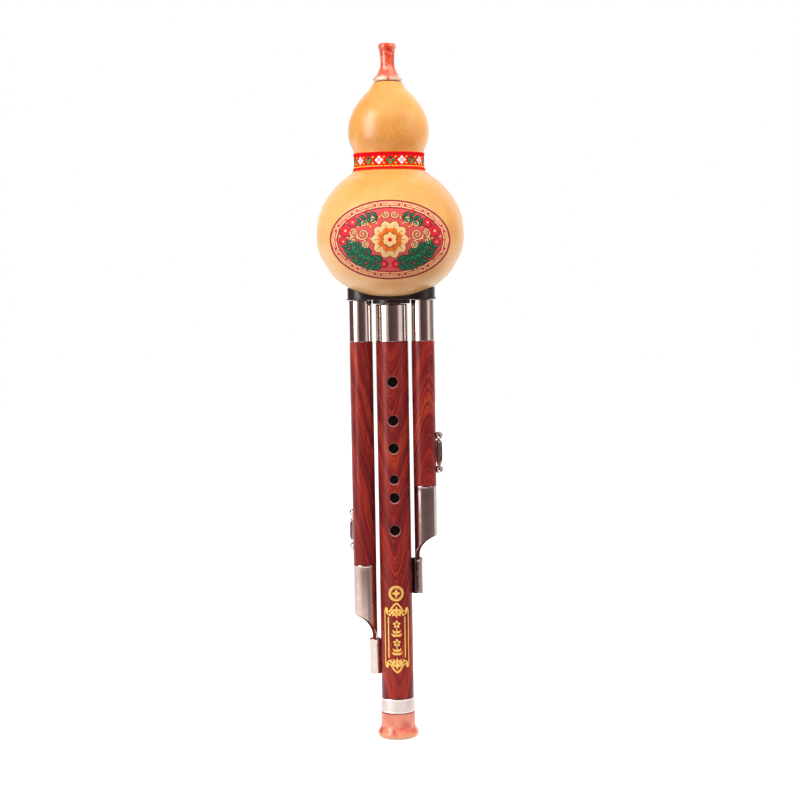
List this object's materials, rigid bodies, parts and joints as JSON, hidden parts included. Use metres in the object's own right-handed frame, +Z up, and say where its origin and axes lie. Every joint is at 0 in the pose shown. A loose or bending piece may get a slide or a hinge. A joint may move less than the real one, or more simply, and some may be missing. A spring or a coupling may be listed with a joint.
{
  "type": "gourd flute",
  "caption": "Gourd flute with a mouthpiece on a double gourd, a fingered wooden main pipe with a bell, and a drone pipe with a hinged side key on each side.",
  "frame": {"origin": "middle of the bell's lower face, on the main pipe's axis", "axes": "+Z up along the main pipe to the mouthpiece, -Y the front with the finger holes, +X towards the shorter drone pipe"},
  "size_m": [0.0924, 0.0924, 0.4386],
  "materials": {
    "gourd": "glossy lacquer over dried gourd",
    "agate": "polished red agate resin",
    "coral": "polished coral resin",
    "rosewood": "glossy lacquered rosewood",
    "nickel": "polished nickel",
    "satin": "satin nickel",
    "brass": "plain brass",
    "black": "glossy black",
    "cork": "bare cork",
    "ribbon": "woven ribbon",
    "pad": "pale leather"
  },
  "bodies": {
    "main_pipe_body": {"main_pipe": "rosewood", "main_top_ferrule": "nickel", "main_bottom_ring": "satin", "bell_foot": "coral", "main_reed_tube": "brass", "main_reed_plate": "brass", "main_joint_seal": "cork", "left_foot_socket": "satin", "right_foot_socket": "satin", "left_foot_screw": "nickel", "right_foot_screw": "nickel"},
    "gourd_body": {"gourd_shell": "gourd", "mouthpiece": "agate", "mouthpiece_cork": "cork", "neck_ribbon": "ribbon", "pipe_base": "black"},
    "left_drone_body": {"left_drone_pipe": "rosewood", "left_top_ferrule": "nickel", "left_lower_sleeve": "satin", "left_reed_tube": "brass", "left_reed_plate": "brass", "left_joint_seal": "cork", "left_key_post_top": "nickel", "left_key_post_bottom": "nickel", "left_key_rod": "nickel"},
    "right_drone_body": {"right_drone_pipe": "rosewood", "right_top_ferrule": "nickel", "right_lower_sleeve": "satin", "right_reed_tube": "brass", "right_reed_plate": "brass", "right_joint_seal": "cork", "right_key_post_top": "nickel", "right_key_post_bottom": "nickel", "right_key_rod": "nickel"},
    "left_key_body": {"left_key_lever": "nickel", "left_key_pad": "pad"},
    "right_key_body": {"right_key_lever": "nickel", "right_key_pad": "pad"}
  },
  "joints": [
    {"name": "gourd_lift", "type": "slide", "parent": "main_pipe_body", "child": "gourd_body", "axis": [0, 0, 1], "range_m": [0, 0.07]},
    {"name": "left_drone_tune", "type": "slide", "parent": "gourd_body", "child": "left_drone_body", "axis": [0, 0, -1], "range_m": [0, 0.003]},
    {"name": "right_drone_tune", "type": "slide", "parent": "gourd_body", "child": "right_drone_body", "axis": [0, 0, -1], "range_m": [0, 0.003]},
    {"name": "left_key_open", "type": "hinge", "parent": "left_drone_body", "child": "left_key_body", "pos_m": [-0.02667, 0.0056, 0.1326], "axis": [0, 0, 1], "range_deg": [0, 60]},
    {"name": "right_key_open", "type": "hinge", "parent": "right_drone_body", "child": "right_key_body", "pos_m": [0.02859, 0.00032, 0.1819], "axis": [0, 0, -1], "range_deg": [0, 60]}
  ]
}
